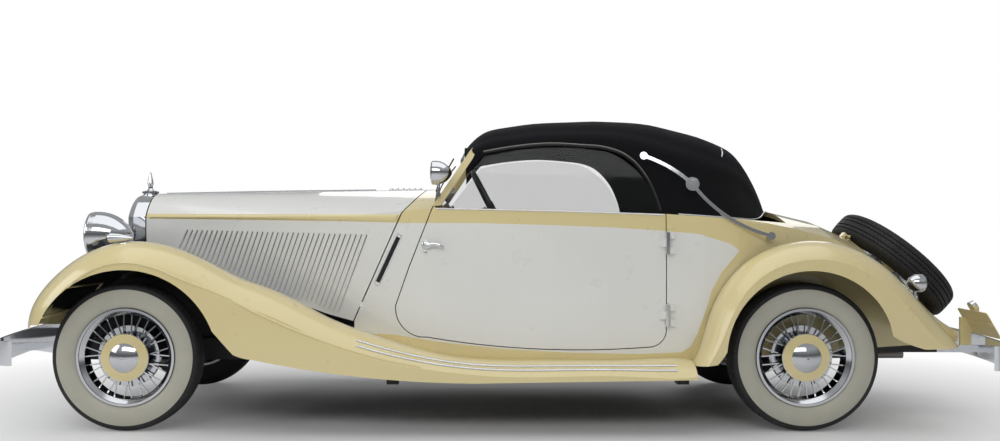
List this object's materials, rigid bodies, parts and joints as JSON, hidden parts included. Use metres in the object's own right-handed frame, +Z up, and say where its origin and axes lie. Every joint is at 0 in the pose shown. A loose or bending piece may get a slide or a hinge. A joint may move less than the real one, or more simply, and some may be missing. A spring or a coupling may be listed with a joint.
{
  "type": "convertible car",
  "caption": "Two-door cabriolet of the 1930s with long louvred bonnet, sweeping fenders, wire wheels, closed cloth hood and a spare wheel on the sloping tail.",
  "frame": {"origin": "on the ground, below the middle of the car's overall length and width", "axes": "-X towards the nose, -Y towards the driver's (left-hand) side, +Z up; the car stands on its four tyres at z = 0"},
  "size_m": [5.0598, 1.7402, 1.5667],
  "materials": {
    "paint_ivory": "gloss",
    "paint_cream": "gloss",
    "chrome": "polished",
    "wheel_chrome": "polished",
    "tyre": "matt",
    "chassis_black": "satin",
    "engine_iron": "rough",
    "exhaust_steel": "satin",
    "floor_paint": "matt",
    "hood_cloth": "matt",
    "seat_leather": "satin",
    "dash_wood": "gloss",
    "rim_plastic": "gloss",
    "glass": "clear"
  },
  "bodies": {
    "car": {"body_tub": "paint_ivory", "chassis_frame": "chassis_black", "dashboard": "dash_wood", "engine_and_gearbox": "engine_iron", "exhaust": "exhaust_steel", "floor_and_firewall": "floor_paint", "front_apron": "chassis_black", "front_bumper": "chrome", "front_fender_left": "paint_cream", "front_fender_right": "paint_cream", "front_seats": "seat_leather", "front_suspension": "chassis_black", "fuel_tank": "chassis_black", "headlamps": "chrome", "horns": "chrome", "landau_irons": "chrome", "number_plate_bracket": "chassis_black", "radiator_grille": "chrome", "radiator_shell": "chrome", "rear_axle": "chassis_black", "rear_bumper": "chrome", "rear_fender_left": "paint_cream", "rear_fender_right": "paint_cream", "rear_seat": "seat_leather", "search_lamp": "chrome", "side_lamps": "chrome", "soft_top": "hood_cloth", "tail_lamps": "chrome", "windscreen_frame": "paint_cream", "windscreen_glass": "glass"},
    "knuckle_left": {"knuckle_left": "chassis_black"},
    "knuckle_right": {"knuckle_right": "chassis_black"},
    "wheel_front_left": {"wheel_front_left": "wheel_chrome", "tyre_front_left": "tyre"},
    "wheel_front_right": {"wheel_front_right": "wheel_chrome", "tyre_front_right": "tyre"},
    "wheel_rear_left": {"wheel_rear_left": "wheel_chrome", "tyre_rear_left": "tyre"},
    "wheel_rear_right": {"wheel_rear_right": "wheel_chrome", "tyre_rear_right": "tyre"},
    "door_left": {"door_left": "paint_ivory", "door_glass_left": "glass"},
    "door_right": {"door_right": "paint_ivory", "door_glass_right": "glass"},
    "bonnet_left": {"bonnet_left": "paint_ivory"},
    "bonnet_right": {"bonnet_right": "paint_ivory"},
    "boot_lid": {"boot_lid": "paint_cream", "spare_wheel": "wheel_chrome", "spare_tyre": "tyre"},
    "steering_wheel": {"steering_wheel": "rim_plastic"}
  },
  "joints": [
    {"name": "steer_left", "type": "hinge", "parent": "car", "child": "knuckle_left", "pos_m": [-1.84, -0.618, 0.361], "axis": [0, 0, 1], "range_deg": [-32, 32]},
    {"name": "steer_right", "type": "hinge", "parent": "car", "child": "knuckle_right", "pos_m": [-1.84, 0.618, 0.361], "axis": [0, 0, 1], "range_deg": [-32, 32]},
    {"name": "steering_wheel_turn", "type": "hinge", "parent": "car", "child": "steering_wheel", "pos_m": [-0.058, -0.35, 1.092], "axis": [0.891, 0, 0.454], "range_deg": [-450, 450]},
    {"name": "spin_front_left", "type": "hinge", "parent": "knuckle_left", "child": "wheel_front_left", "pos_m": [-1.84, -0.685, 0.361], "axis": [0, 1, 0], "continuous": true},
    {"name": "spin_front_right", "type": "hinge", "parent": "knuckle_right", "child": "wheel_front_right", "pos_m": [-1.84, 0.685, 0.361], "axis": [0, 1, 0], "continuous": true},
    {"name": "spin_rear_left", "type": "hinge", "parent": "car", "child": "wheel_rear_left", "pos_m": [1.46, -0.685, 0.361], "axis": [0, 1, 0], "continuous": true},
    {"name": "spin_rear_right", "type": "hinge", "parent": "car", "child": "wheel_rear_right", "pos_m": [1.46, 0.685, 0.361], "axis": [0, 1, 0], "continuous": true},
    {"name": "door_left_hinge", "type": "hinge", "parent": "car", "child": "door_left", "pos_m": [0.802, -0.705, 0.738], "axis": [0, 0, 1], "range_deg": [0, 65]},
    {"name": "door_right_hinge", "type": "hinge", "parent": "car", "child": "door_right", "pos_m": [0.802, 0.705, 0.738], "axis": [0, 0, -1], "range_deg": [0, 65]},
    {"name": "bonnet_left_hinge", "type": "hinge", "parent": "car", "child": "bonnet_left", "pos_m": [-1.93, 0, 1.171], "axis": [-0.9999, 0, -0.0143], "range_deg": [0, 50]},
    {"name": "bonnet_right_hinge", "type": "hinge", "parent": "car", "child": "bonnet_right", "pos_m": [-1.93, 0, 1.171], "axis": [0.9999, 0, 0.0143], "range_deg": [0, 50]},
    {"name": "boot_lid_hinge", "type": "hinge", "parent": "car", "child": "boot_lid", "pos_m": [1.8835, 0, 0.9393], "axis": [0, -1, 0], "range_deg": [0, 60]}
  ],
  "couplings": [
    {"joint": "steer_right", "follows": "steer_left", "ratio": 1},
    {"joint": "steering_wheel_turn", "follows": "steer_left", "ratio": 14}
  ]
}
